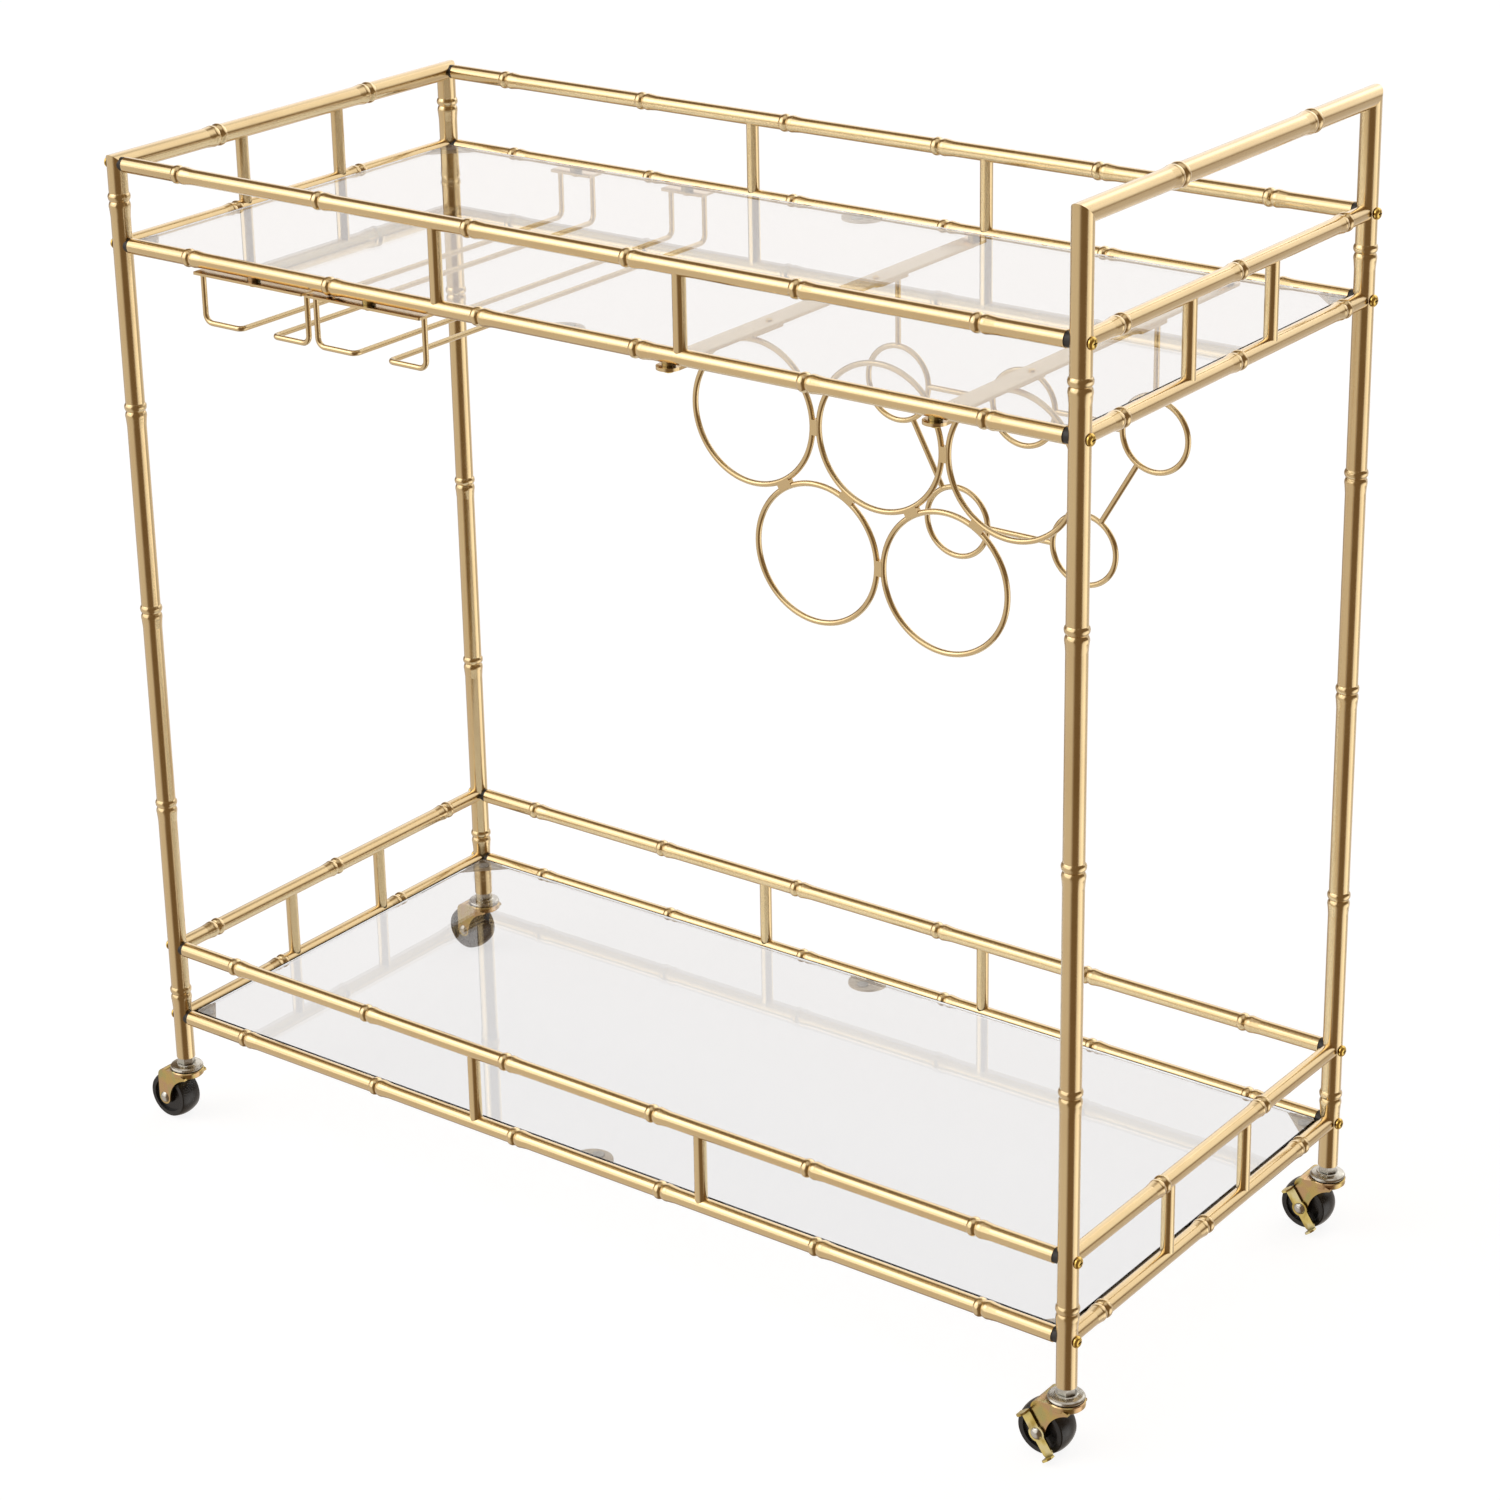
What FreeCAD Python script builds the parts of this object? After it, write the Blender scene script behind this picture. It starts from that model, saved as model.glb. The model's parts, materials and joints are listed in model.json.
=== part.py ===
import FreeCAD, Part

import math
import os

# Bar cart on four swivel casters: a bamboo-ringed tube frame with two glass shelves, two stemware
# holders and a five-bottle wine rack. Millimetres, +Z up, +X towards the push handle, front -Y.
# The origin is on the floor, midway between the posts front to back and at the middle of the
# overall length with the casters trailing towards -X. Everything is drawn about the middle of the
# four posts and moved to that origin when it is written out.

# Overall sizes
LENGTH = 898.0  # between post axes, along X
DEPTH = 397.0  # between post axes, along Y
POST_BELOW_SHELF = 39.0  # lower shelf rails above the post bottoms
LOWER_GALLERY = 65.5  # from the lower shelf rails up to the rails above them
SHELF_SPACING = 687.5  # from the lower shelf rails up to the upper shelf rails
UPPER_GALLERY = 66.5
HANDLE_RISE = 86.5  # from the upper gallery rails up to the handle

# Tubes
POST_R = 8.0
RAIL_R = 6.35
TUBE_WALL = 1.2
SPINDLE_R = 5.25
SPINDLE_WALL = 1.0
RAIL_END_GAP = 2.6  # long rails stop short of the posts by this much
SPINDLE_X = 115.0  # on the long sides, from the middle
SPINDLE_Y = 57.5  # on the ends, from the middle

# Bamboo rings rolled into the tubes: a ridge, a groove, then a bulge that tapers away
RIDGE_HALF = 3.4
RIDGE_RISE = 1.25
GROOVE_DEPTH = 0.35
BULGE_LENGTH = 6.0
BULGE_RISE = 0.85
TAPER_LENGTH = 7.0
POST_RING_START = 25.5  # first ring above the lower shelf rails
POST_RINGS = 5
POST_RING_PITCH = 0.255 * SHELF_SPACING
LONG_RINGS = 6
GALLERY_RING_SHIFT = -6.0  # rings on the long gallery rails sit this far towards -X

# Glass shelves and what carries them
GLASS_THICKNESS = 5.0
GLASS_TOP_RISE = 3.2  # top face above the rail axis
GLASS_GAP = 1.6  # between the glass edge and the rail
GLASS_CORNER_R = 4.0
GLASS_BEVEL = 0.5
PAD_THICKNESS = 1.2
PAD_R = 5.0
PAD_INSET = 15.0  # pad centre in from the rail axes
SUPPORT_THICKNESS = 2.0
CORNER_LEG = 40.0
MID_TAB_R = 17.5

# Fasteners
SCREW_R = 2.5
SCREW_HEAD_R = 4.6
SCREW_HEAD_H = 2.9
THREAD_CLEARANCE = 0.05
HOLE_CLEARANCE = 0.25
RECESS_WIDTH = 1.0
RECESS_LENGTH = 5.0
RECESS_DEPTH = 1.4
END_INSERT_DEPTH = 14.0
END_COLLAR_R = 5.7
RAIL_INSERT_R = 3.5
RAIL_INSERT_DEPTH = 8.0
RAIL_INSERT_FLANGE_R = 5.2
RAIL_INSERT_STAND = 1.5  # flange stands this far below the rail

# Flat crossbars under the upper shelf
CROSSBAR_MIDDLE_X = 219.0
CROSSBAR_SPACING = 230.0
CROSSBAR_WIDTH = 19.0
CROSSBAR_THICKNESS = 2.5

# Wine rack: bottle rings in front, neck rings behind
WIRE_R = 2.25
BOTTLE_RING_R = 54.0  # to the wire's centre line
BOTTLE_RING_GAP = 1.2
BOTTLE_X = 219.8  # middle column
BOTTLE_Y = -101.5
BOTTLE_DROP = 70.0  # upper row below the shelf rails
JOINER_LENGTH = 12.0
JOINER_STAND = 0.2  # a joiner stands this far out in front of and behind the wires
NECK_RING_R = 28.3
NECK_PITCH = 116.0
NECK_X = 224.0
NECK_Y = 85.0
NECK_DROP = 96.0  # upper row below the shelf rails
NECK_ROW_DROP = 102.0
NECK_LOWER_SHIFT = -2.5  # the lower row sits this far off the middle of the upper one
TAB_WIDTH = 16.0
TAB_THICKNESS = 2.0
TAB_SCREW_OFFSET = 24.0  # tab screw from the wire, towards the middle of the cart
TAB_END = 7.0  # tab length beyond its screw and its wire
TAB_CORNER_R = 2.0

# Stemware holders
HOLDER_MIDDLE_X = -244.75
HOLDER_SPACING = 120.5
HOLDER_FRONT_LENGTH = 117.0
HOLDER_REAR_LENGTH = 44.0
HOLDER_WIDTH = 18.0
HOLDER_THICKNESS = 2.0
HOLDER_MOUTH_HALF = 55.5  # wire centre lines at the mouth
STEM_SLOT_HALF = 17.5  # wire centre lines along the slot
STEM_WIRE_DROP = 50.5  # wire axis below the shelf rail axis
MOUTH_BEND = 7.0
SLOT_BEND = 5.0

# Casters, trailing towards -X
WHEEL_R = 21.0
WHEEL_HALF = 10.2
WHEEL_CROWN = 1.7
WHEEL_HUB_R = 6.5
WHEEL_HUB_HALF = 10.9
WHEEL_RIM = 6.8  # from the tread in to the dished side
WHEEL_DISH_DEPTH = 2.2
CASTER_TRAIL = 16.0
AXLE_R = 3.0
RUNNING_CLEARANCE = 0.05
RIVET_HEAD_R = 4.8
RIVET_HEAD_H = 2.4
FORK_INNER_HALF = 11.4
FORK_THICKNESS = 2.2
FORK_BOSS_R = 6.2
FORK_TOP_DEPTH = 5.8
WHEEL_CLEARANCE = 1.8
WHEEL_TO_RACE = 1.5  # top of the wheel below the fork's race
RACE_R = 14.5
RACE_GAP = 0.7
CAP_HEIGHT = 4.5
HEX_HEIGHT = 6.0
HEX_FLATS = 13.0
STEM_R = 4.0
STEM_THREAD = 18.0
KINGPIN_HEAD_R = 6.0
KINGPIN_HEAD_H = 1.6
SLIDE_GAP = 0.2
POST_INSERT_DEPTH = 20.0
BALL_R = 1.6
BALL_COUNT = 10
BALL_CIRCLE_R = 10.2
BALL_CLEARANCE = 0.05

# Brake lever, a rocker on the axle outside the fork's front leg
LEVER_THICKNESS = 1.6
LEVER_HUB_R = 6.6
LEVER_END_R = 4.4
PEDAL_ANGLE = 122.0  # from +X towards +Z
PEDAL_INSET = 1.45  # inside the wheel's outline
TOE_ANGLE = -53.6
TOE_INSET = 0.45
PEDAL_REACH = 9.0
TOE_REACH = 7.0

# Places worked out from the sizes above
HALF_L = LENGTH / 2
HALF_D = DEPTH / 2
POST_BORE = POST_R - TUBE_WALL
RAIL_BORE = RAIL_R - TUBE_WALL
FORK_UNDER_Z = 2 * WHEEL_R + WHEEL_TO_RACE
FORK_TOP_Z = FORK_UNDER_Z + FORK_TOP_DEPTH
CAP_UNDER_Z = FORK_TOP_Z + RACE_GAP
CAP_TOP_Z = CAP_UNDER_Z + CAP_HEIGHT
POST_BOTTOM_Z = CAP_TOP_Z + HEX_HEIGHT
LOWER_SHELF_Z = POST_BOTTOM_Z + POST_BELOW_SHELF
LOWER_TOP_Z = LOWER_SHELF_Z + LOWER_GALLERY
UPPER_SHELF_Z = LOWER_SHELF_Z + SHELF_SPACING
UPPER_TOP_Z = UPPER_SHELF_Z + UPPER_GALLERY
HANDLE_Z = UPPER_TOP_Z + HANDLE_RISE
RAIL_HALF = HALF_L - POST_R - RAIL_END_GAP
GLASS_HALF_X = HALF_L - RAIL_R - GLASS_GAP
GLASS_HALF_Y = HALF_D - RAIL_R - GLASS_GAP
INSERT_FACE_Z = UPPER_SHELF_Z - RAIL_R - RAIL_INSERT_STAND
CROSSBAR_X = (CROSSBAR_MIDDLE_X - CROSSBAR_SPACING / 2, CROSSBAR_MIDDLE_X + CROSSBAR_SPACING / 2)
CROSSBAR_UNDER_Z = INSERT_FACE_Z - CROSSBAR_THICKNESS
TAB_UNDER_Z = CROSSBAR_UNDER_Z - TAB_THICKNESS
BOTTLE_PITCH = 2 * (BOTTLE_RING_R + WIRE_R) + BOTTLE_RING_GAP
BOTTLE_Z = UPPER_SHELF_Z - BOTTLE_DROP
NECK_Z = UPPER_SHELF_Z - NECK_DROP
JOINER_THICKNESS = 2 * (WIRE_R + JOINER_STAND)
HOLDER_X = (HOLDER_MIDDLE_X - HOLDER_SPACING / 2, HOLDER_MIDDLE_X + HOLDER_SPACING / 2)
STEM_WIRE_Z = UPPER_SHELF_Z - STEM_WIRE_DROP
FORK_OUTER_HALF = FORK_INNER_HALF + FORK_THICKNESS
AXLE_Z = WHEEL_R
WHEEL_EDGE_R = WHEEL_R - WHEEL_CROWN
WHEEL_DISH_R = WHEEL_R - WHEEL_RIM
ORIGIN_X = (RACE_R - CASTER_TRAIL - WHEEL_R) / 2  # middle of the overall length
BIG = 200.0

X_AXIS = FreeCAD.Vector(1, 0, 0)
Y_AXIS = FreeCAD.Vector(0, 1, 0)
Z_AXIS = FreeCAD.Vector(0, 0, 1)
CORNERS = {
    "front_left": (-1, -1),
    "back_left": (-1, 1),
    "front_right": (1, -1),
    "back_right": (1, 1),
}
LEVELS = (LOWER_SHELF_Z, LOWER_TOP_Z, UPPER_SHELF_Z, UPPER_TOP_Z)
TOP_BAR_RINGS = {-1: (-0.212, 0.244), 1: (-0.194, 0.272)}  # places along Y as shares of the depth
END_RAILS = {  # end of the cart, height, ring places as shares of the depth
    "left_upper_shelf_rail": (-1, UPPER_SHELF_Z, (-0.171, 0.207)),
    "left_lower_gallery_rail": (-1, LOWER_TOP_Z, (-0.378, 0.005, 0.383)),
    "left_lower_shelf_rail": (-1, LOWER_SHELF_Z, (-0.186, 0.21)),
    "right_upper_gallery_rail": (1, UPPER_TOP_Z, (-0.373, 0.023, 0.413)),
    "right_upper_shelf_rail": (1, UPPER_SHELF_Z, (-0.368, 0.03, 0.421)),
    "right_lower_gallery_rail": (1, LOWER_TOP_Z, (-0.169, 0.212)),
    "right_lower_shelf_rail": (1, LOWER_SHELF_Z, (-0.375, 0.0, 0.378)),
}


def vec(x, y, z):
    return FreeCAD.Vector(x, y, z)


def at_angle(radius, angle):
    """A point in the XZ plane at an angle from +X towards +Z, in degrees."""
    return vec(radius * math.cos(math.radians(angle)), 0, radius * math.sin(math.radians(angle)))


def rod(start, end, radius):
    """A solid round rod between two points."""
    run = end - start
    return Part.makeCylinder(radius, run.Length, start, run)


def turned(points):
    """A solid turned about Z from (radius, height) points."""
    outline = Part.makePolygon([vec(r, 0, z) for r, z in points + points[:1]])
    return Part.Face(outline).revolve(vec(0, 0, 0), Z_AXIS, 360)


def laid(shape, start, axis):
    """The shape moved so that its own Z runs along the axis from the start."""
    placed = shape.copy()
    placed.Placement = FreeCAD.Placement(start, FreeCAD.Rotation(Z_AXIS, axis))
    return placed


def joined(shapes):
    """One solid from touching or overlapping shapes."""
    return shapes[0].fuse(shapes[1:]).removeSplitter()


def half_space(point, normal):
    """A large block on the side of a plane that the normal points to."""
    block = Part.makeBox(BIG, BIG, BIG, vec(-BIG / 2, -BIG / 2, 0))
    return laid(block, point, normal)


def ring_edges(radius, place, way):
    """Outline of one bamboo ring; the bulge follows the ridge in the given way along the tube."""
    groove = (radius - GROOVE_DEPTH, RIDGE_HALF)
    shoulder = (radius + 0.7 * BULGE_RISE, RIDGE_HALF + BULGE_LENGTH)
    curves = [
        [(radius, -RIDGE_HALF), (radius + RIDGE_RISE, 0), groove],
        [groove, (radius + BULGE_RISE, RIDGE_HALF + BULGE_LENGTH / 2), shoulder],
        [shoulder, (radius, RIDGE_HALF + BULGE_LENGTH + TAPER_LENGTH)],
    ]
    if way < 0:
        curves = [curve[::-1] for curve in curves[::-1]]
    return [[(r, place + way * s) for r, s in curve] for curve in curves]


def bamboo_tube(radius, bore, length, rings, way):
    """A tube along Z with bamboo rings at the given heights; with no bore it is solid."""
    curves = []
    last = (radius, 0)
    for place in sorted(rings):
        ring = ring_edges(radius, place, way)
        curves.append([last, ring[0][0]])
        curves += ring
        last = ring[-1][-1]
    curves.append([last, (radius, length)])
    curves.append([(radius, length), (bore, length)])
    curves.append([(bore, length), (bore, 0)])
    curves.append([(bore, 0), (radius, 0)])
    edges = []
    for curve in curves:
        points = [vec(r, 0, z) for r, z in curve]
        if len(points) == 3:
            edges.append(Part.Arc(*points).toShape())
        else:
            edges.append(Part.LineSegment(*points).toShape())
    return Part.Face(Part.Wire(edges)).revolve(vec(0, 0, 0), Z_AXIS, 360)


def mitre_plane(x, y, z):
    """The 45 degree plane between a post and the bar across its top, pointing to the bar."""
    side = -1 if y < 0 else 1
    return vec(x, y, z), vec(0, -side, 1)


def post_top(side_x):
    return HANDLE_Z if side_x > 0 else UPPER_TOP_Z


def corner_outside(side_x, side_y, z):
    """The outside of a post at one height, and of the bar mitred to it if there is one."""
    x, y = side_x * HALF_L, side_y * HALF_D
    column = rod(vec(x, y, z - 3 * POST_R), vec(x, y, z + 3 * POST_R), POST_R)
    if z != post_top(side_x):
        return [column]
    point, normal = mitre_plane(x, y, z)
    bar = rod(vec(x, y - 3 * POST_R, z), vec(x, y + 3 * POST_R, z), POST_R)
    return [column.cut(half_space(point, normal)), bar.cut(half_space(point, -normal))]


def screw_hole(side_x, y, z):
    """The cross hole for a rail screw through a post."""
    reach = vec(POST_R + 2 * RIDGE_RISE, 0, 0)
    centre = vec(side_x * HALF_L, y, z)
    return rod(centre - reach, centre + reach, SCREW_R + HOLE_CLEARANCE)


def post(side_x, side_y):
    """A post, mitred at the top, with cross holes for the rail screws."""
    x, y = side_x * HALF_L, side_y * HALF_D
    length = post_top(side_x) + 2 * POST_R - POST_BOTTOM_Z
    first = POST_RING_START + POST_BELOW_SHELF
    rings = [first + i * POST_RING_PITCH for i in range(POST_RINGS)]
    tube = laid(bamboo_tube(POST_R, POST_BORE, length, rings, -1), vec(x, y, POST_BOTTOM_Z), Z_AXIS)
    tube = tube.cut(half_space(*mitre_plane(x, y, post_top(side_x))))
    return tube.cut([screw_hole(side_x, y, z) for z in LEVELS])


def top_bar_form(side_x, bore):
    """The bar across two post tops as a plain ringed tube, longer than the mitred bar."""
    start = -HALF_D - 2 * POST_R
    length = DEPTH + 4 * POST_R
    places = [share * DEPTH - start for share in TOP_BAR_RINGS[side_x]]
    tube = bamboo_tube(POST_R, bore, length, places, -1)
    return laid(tube, vec(side_x * HALF_L, start, post_top(side_x)), Y_AXIS)


def top_bar(side_x):
    """The post-sized bar that joins two post tops, mitred at both ends."""
    x, z = side_x * HALF_L, post_top(side_x)
    bar = top_bar_form(side_x, POST_BORE)
    for y in (-HALF_D, HALF_D):
        point, normal = mitre_plane(x, y, z)
        bar = bar.cut(half_space(point, -normal))
        if z in LEVELS:
            bar = bar.cut(screw_hole(side_x, y, z))
    return bar


def post_cutters(side_x):
    """The outside of the two posts at one end, for coping what is welded to them."""
    return [rod(vec(side_x * HALF_L, y, 0), vec(side_x * HALF_L, y, HANDLE_Z), POST_R)
            for y in (-HALF_D, HALF_D)]


def end_rail_form(name, bore):
    """An end rail as a plain ringed tube, from post axis to post axis."""
    side_x, z, rings = END_RAILS[name]
    places = [share * DEPTH + HALF_D for share in rings]
    return laid(bamboo_tube(RAIL_R, bore, DEPTH, places, -1), vec(side_x * HALF_L, -HALF_D, z), Y_AXIS)


def end_rail(name):
    """A rail across one end, coped to the two posts it is welded to."""
    return end_rail_form(name, RAIL_BORE).cut(post_cutters(END_RAILS[name][0]))


def underside_fixings():
    """Every place where a screw comes up into an upper shelf rail: x, y and plate thickness."""
    places = [(x, CROSSBAR_THICKNESS) for x in CROSSBAR_X]
    places += [(x, HOLDER_THICKNESS) for x in HOLDER_X]
    return [(x, y, plate) for y in (-HALF_D, HALF_D) for x, plate in places]


def long_rail_form(side_y, z, bore):
    """A long rail as a plain ringed tube, cut flat at both ends."""
    shift = 0 if z in (LOWER_SHELF_Z, UPPER_SHELF_Z) else GALLERY_RING_SHIFT
    pitch = LENGTH / LONG_RINGS
    rings = [RAIL_HALF + shift + (i + 0.5) * pitch - HALF_L for i in range(LONG_RINGS)]
    return laid(bamboo_tube(RAIL_R, bore, 2 * RAIL_HALF, rings, 1),
                vec(-RAIL_HALF, side_y * HALF_D, z), X_AXIS)


def long_rail(side_y, z):
    """A long rail; the upper shelf's rails have holes underneath for threaded inserts."""
    rail = long_rail_form(side_y, z, RAIL_BORE)
    if z == UPPER_SHELF_Z:
        for x, y, plate in underside_fixings():
            if y * side_y > 0:
                hole = rod(vec(x, y, z - RAIL_R - 1), vec(x, y, z), RAIL_INSERT_R + THREAD_CLEARANCE)
                rail = rail.cut(hole)
    return rail


def spindle(x, y, low, high, rails):
    """A short upright tube, coped to the rails above and below it."""
    tube = rod(vec(x, y, low), vec(x, y, high), SPINDLE_R)
    tube = tube.cut(rod(vec(x, y, low), vec(x, y, high), SPINDLE_R - SPINDLE_WALL))
    return tube.cut(rails)


def end_rail_outside(side_x, z):
    """The outside of the rail or bar across one end at one height."""
    if z == post_top(side_x):
        return top_bar_form(side_x, 0)
    for name, (rail_side, rail_z, rings) in END_RAILS.items():
        if (rail_side, rail_z) == (side_x, z):
            return end_rail_form(name, 0)


def spindles(low, high):
    """The eight spindles of one gallery."""
    solids = []
    for side in (-1, 1):
        long_rails = [long_rail_form(side, z, 0) for z in (low, high)]
        solids += [spindle(x, side * HALF_D, low, high, long_rails) for x in (-SPINDLE_X, SPINDLE_X)]
        end_rails = [end_rail_outside(side, z) for z in (low, high)]
        solids += [spindle(side * HALF_L, y, low, high, end_rails) for y in (-SPINDLE_Y, SPINDLE_Y)]
    return solids


def glass(rail_z):
    """A flat glass shelf with rounded corners and a bevelled edge."""
    low = rail_z + GLASS_TOP_RISE - GLASS_THICKNESS
    pane = Part.makeBox(2 * GLASS_HALF_X, 2 * GLASS_HALF_Y, GLASS_THICKNESS,
                        vec(-GLASS_HALF_X, -GLASS_HALF_Y, low))
    upright = [e for e in pane.Edges if abs(e.tangentAt(e.FirstParameter).z) > 0.9]
    pane = pane.makeFillet(GLASS_CORNER_R, upright)
    rims = [e for e in pane.Edges if abs(e.tangentAt(e.FirstParameter).z) < 0.1]
    return pane.makeChamfer(GLASS_BEVEL, rims)


def support_z(rail_z):
    """Underside of the plates that carry the glass."""
    return rail_z + GLASS_TOP_RISE - GLASS_THICKNESS - PAD_THICKNESS - SUPPORT_THICKNESS


def shelf_frame(rail_z):
    """The outsides of the posts and rails round one shelf, for cutting plates to fit them."""
    rails = [long_rail_form(side, rail_z, 0) for side in (-1, 1)]
    rails += [end_rail_form(name, 0) for name, rail in END_RAILS.items() if rail[1] == rail_z]
    collars = [rod(vec(sx * RAIL_HALF, sy * HALF_D, rail_z), vec(sx * HALF_L, sy * HALF_D, rail_z), RAIL_R)
               for sx, sy in CORNERS.values()]
    posts = [form for sx, sy in CORNERS.values() for form in corner_outside(sx, sy, rail_z)]
    return rails + collars + posts


def corner_plate(side_x, side_y, rail_z, frame):
    """A triangular plate welded into a corner of the shelf frame."""
    x, y = side_x * HALF_L, side_y * HALF_D
    z = support_z(rail_z)
    outline = [vec(x, y, z), vec(x - side_x * CORNER_LEG, y, z), vec(x, y - side_y * CORNER_LEG, z)]
    plate = Part.Face(Part.makePolygon(outline + outline[:1])).extrude(vec(0, 0, SUPPORT_THICKNESS))
    return plate.cut(frame)


def mid_tab(side_y, rail_z, frame):
    """A half-round tab welded to the middle of a long rail."""
    y = side_y * (HALF_D - RAIL_R)
    z = support_z(rail_z)
    disc = Part.makeCylinder(MID_TAB_R, SUPPORT_THICKNESS, vec(0, y, z))
    beyond = half_space(vec(0, side_y * HALF_D, z), vec(0, side_y, 0))
    return disc.cut([beyond] + frame)


def glass_supports():
    """Corner plates and mid tabs of both shelves."""
    solids = []
    for rail_z in (LOWER_SHELF_Z, UPPER_SHELF_Z):
        frame = shelf_frame(rail_z)
        solids += [corner_plate(sx, sy, rail_z, frame) for sx, sy in CORNERS.values()]
        solids += [mid_tab(sy, rail_z, frame) for sy in (-1, 1)]
    return solids


def glass_pads():
    """Clear round pads between the supports and the glass."""
    solids = []
    for rail_z in (LOWER_SHELF_Z, UPPER_SHELF_Z):
        z = support_z(rail_z) + SUPPORT_THICKNESS
        places = [(sx * (HALF_L - PAD_INSET), sy * (HALF_D - PAD_INSET)) for sx, sy in CORNERS.values()]
        places += [(0, sy * (HALF_D - PAD_INSET)) for sy in (-1, 1)]
        solids += [Part.makeCylinder(PAD_R, PAD_THICKNESS, vec(x, y, z)) for x, y in places]
    return solids


def pan_screw(length):
    """A pan head screw along Z: head above the origin, shank below it."""
    rim = 0.35 * SCREW_HEAD_H
    crown = vec(0.35 * SCREW_HEAD_R, 0, SCREW_HEAD_H)
    edges = [
        Part.LineSegment(vec(0, 0, 0), vec(SCREW_HEAD_R, 0, 0)).toShape(),
        Part.LineSegment(vec(SCREW_HEAD_R, 0, 0), vec(SCREW_HEAD_R, 0, rim)).toShape(),
        Part.Arc(vec(SCREW_HEAD_R, 0, rim),
                 vec(0.8 * SCREW_HEAD_R, 0, 0.8 * SCREW_HEAD_H), crown).toShape(),
        Part.LineSegment(crown, vec(0, 0, SCREW_HEAD_H)).toShape(),
        Part.LineSegment(vec(0, 0, SCREW_HEAD_H), vec(0, 0, 0)).toShape(),
    ]
    head = Part.Face(Part.Wire(edges)).revolve(vec(0, 0, 0), Z_AXIS, 360)
    for long_x, long_y in ((RECESS_LENGTH, RECESS_WIDTH), (RECESS_WIDTH, RECESS_LENGTH)):
        corner = vec(-long_x / 2, -long_y / 2, SCREW_HEAD_H - RECESS_DEPTH)
        head = head.cut(Part.makeBox(long_x, long_y, 2 * RECESS_DEPTH, corner))
    shank = Part.makeCylinder(SCREW_R, length, vec(0, 0, -length))
    return joined([head, shank])


def post_screws():
    """Screws through the posts into the ends of the long rails."""
    length = 2 * POST_R + RAIL_END_GAP + END_INSERT_DEPTH - 2
    screw = pan_screw(length)
    return [laid(screw, vec(sx * (HALF_L + POST_R), sy * HALF_D, z), vec(sx, 0, 0))
            for sx, sy in CORNERS.values() for z in LEVELS]


def end_insert(side_x, side_y, z):
    """A threaded plug in a long rail's end, with a collar that meets the post."""
    y = side_y * HALF_D
    face = vec(side_x * RAIL_HALF, y, z)
    inner = vec(side_x * (RAIL_HALF - END_INSERT_DEPTH), y, z)
    axis = vec(side_x * HALF_L, y, z)
    plug = joined([rod(inner, face, RAIL_BORE), rod(face, axis, END_COLLAR_R)])
    bore = rod(inner, axis, SCREW_R + THREAD_CLEARANCE)
    return plug.cut(corner_outside(side_x, side_y, z) + [bore])


def end_inserts():
    return [end_insert(sx, sy, z) for sx, sy in CORNERS.values() for z in LEVELS]


def rail_insert(x, y):
    """A threaded insert under an upper shelf rail, its flange saddled to the tube."""
    flange = rod(vec(x, y, INSERT_FACE_Z), vec(x, y, UPPER_SHELF_Z), RAIL_INSERT_FLANGE_R)
    rail = long_rail_form(math.copysign(1, y), UPPER_SHELF_Z, 0)
    top = INSERT_FACE_Z + RAIL_INSERT_STAND + RAIL_INSERT_DEPTH
    barrel = rod(vec(x, y, INSERT_FACE_Z), vec(x, y, top), RAIL_INSERT_R)
    bore = rod(vec(x, y, INSERT_FACE_Z - 1), vec(x, y, top + 1), SCREW_R + THREAD_CLEARANCE)
    return joined([flange.cut(rail), barrel]).cut(bore)


def rail_inserts():
    return [rail_insert(x, y) for x, y, plate in underside_fixings()]


def shelf_screws():
    """Screws that hold the crossbars and the holder plates up to the rails."""
    screw = pan_screw(RAIL_INSERT_STAND + RAIL_INSERT_DEPTH + CROSSBAR_THICKNESS)
    return [laid(screw, vec(x, y, INSERT_FACE_Z - plate), -Z_AXIS)
            for x, y, plate in underside_fixings()]


def tabs():
    """Rack tabs under the crossbars: bar x, wire x, wire y and screw y."""
    places = []
    for side, bar_x in zip((-1, 1), CROSSBAR_X):
        bottle_x = BOTTLE_X + side * BOTTLE_PITCH
        neck_x = NECK_X + side * NECK_PITCH
        places.append((bar_x, bottle_x, BOTTLE_Y, BOTTLE_Y + TAB_SCREW_OFFSET))
        places.append((bar_x, neck_x, NECK_Y, NECK_Y - TAB_SCREW_OFFSET))
    return places


def crossbar(x):
    """A flat bar under the shelf, front rail to back rail, with rounded ends."""
    half = CROSSBAR_WIDTH / 2
    bar = Part.makeBox(CROSSBAR_WIDTH, DEPTH, CROSSBAR_THICKNESS, vec(x - half, -HALF_D, CROSSBAR_UNDER_Z))
    ends = [Part.makeCylinder(half, CROSSBAR_THICKNESS, vec(x, y, CROSSBAR_UNDER_Z))
            for y in (-HALF_D, HALF_D)]
    holes = [rod(vec(x, y, CROSSBAR_UNDER_Z - 1), vec(x, y, INSERT_FACE_Z + 1), SCREW_R + HOLE_CLEARANCE)
             for y in (-HALF_D, HALF_D)]
    holes += [rod(vec(x, y, CROSSBAR_UNDER_Z - 1), vec(x, y, INSERT_FACE_Z + 1), SCREW_R + THREAD_CLEARANCE)
              for bar_x, wire_x, wire_y, y in tabs() if bar_x == x]
    return joined([bar] + ends).cut(holes)


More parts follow.
